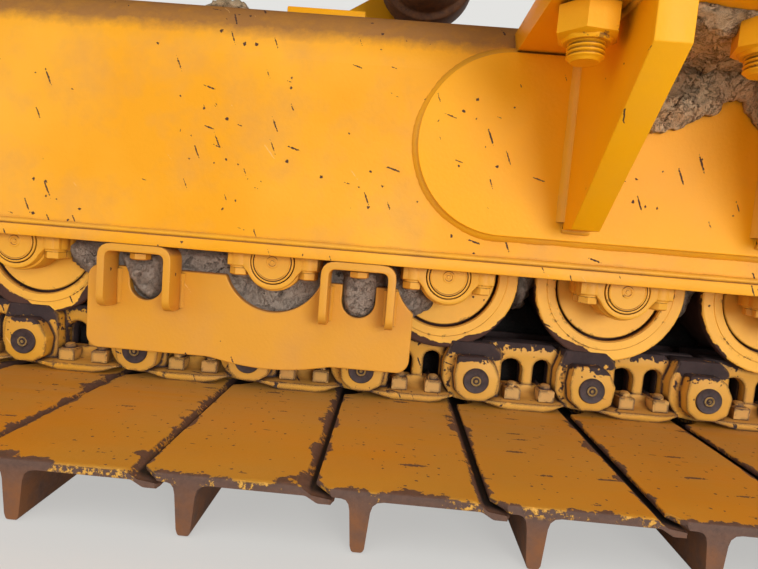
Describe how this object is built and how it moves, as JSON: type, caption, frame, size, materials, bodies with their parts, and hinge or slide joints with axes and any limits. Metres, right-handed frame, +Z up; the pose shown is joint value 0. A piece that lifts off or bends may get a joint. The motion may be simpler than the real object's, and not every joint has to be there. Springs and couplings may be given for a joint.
{
  "type": "crawler track unit of a pipelayer",
  "caption": "Left-hand crawler track unit of a pipelayer: hollow roller frame with boom-foot brackets, rollers, guards, idler, sprocket and a looped single-grouser track.",
  "frame": {"origin": "on the ground under the middle of the wheelbase, on the centre plane of the chain", "axes": "+X rearwards along the track towards the sprocket, +Y inboard towards the tractor, +Z up"},
  "size_m": [4.694, 1.2949, 1.1864],
  "materials": {
    "yellow_paint": "semi-gloss industrial paint, dusty and chipped",
    "bare_track": "worn steel under thin old paint, with rust and dirt",
    "worn_steel": "worn machined steel",
    "bolt_steel": "painted fasteners with worn edges"
  },
  "bodies": {
    "root": {"track_frame": "yellow_paint", "sprocket_arms": "yellow_paint", "idler_guides": "yellow_paint", "boom_bracket_front": "yellow_paint", "boom_bracket_rear": "yellow_paint", "boom_foot_front": "yellow_paint", "boom_foot_rear": "yellow_paint", "boom_foot_bolts": "bolt_steel", "bottom_rollers": "yellow_paint", "roller_shafts": "yellow_paint", "roller_saddles": "yellow_paint", "idler": "yellow_paint", "idler_shaft": "worn_steel", "idler_blocks": "yellow_paint", "idler_yoke": "yellow_paint", "recoil_unit": "worn_steel", "sprocket": "bare_track", "sprocket_hub": "yellow_paint", "bearing_cap": "yellow_paint", "pivot_brace": "yellow_paint", "equaliser_seat": "yellow_paint", "carrier_rollers": "yellow_paint", "carrier_shafts": "worn_steel", "carrier_brackets": "yellow_paint", "front_guard_outer": "yellow_paint", "front_guard_inner": "yellow_paint", "centre_guard_outer": "yellow_paint", "centre_guard_inner": "yellow_paint", "rear_guard_outer": "yellow_paint", "rear_guard_inner": "yellow_paint", "guard_straps": "yellow_paint", "track": "bare_track"}
  },
  "joints": []
}
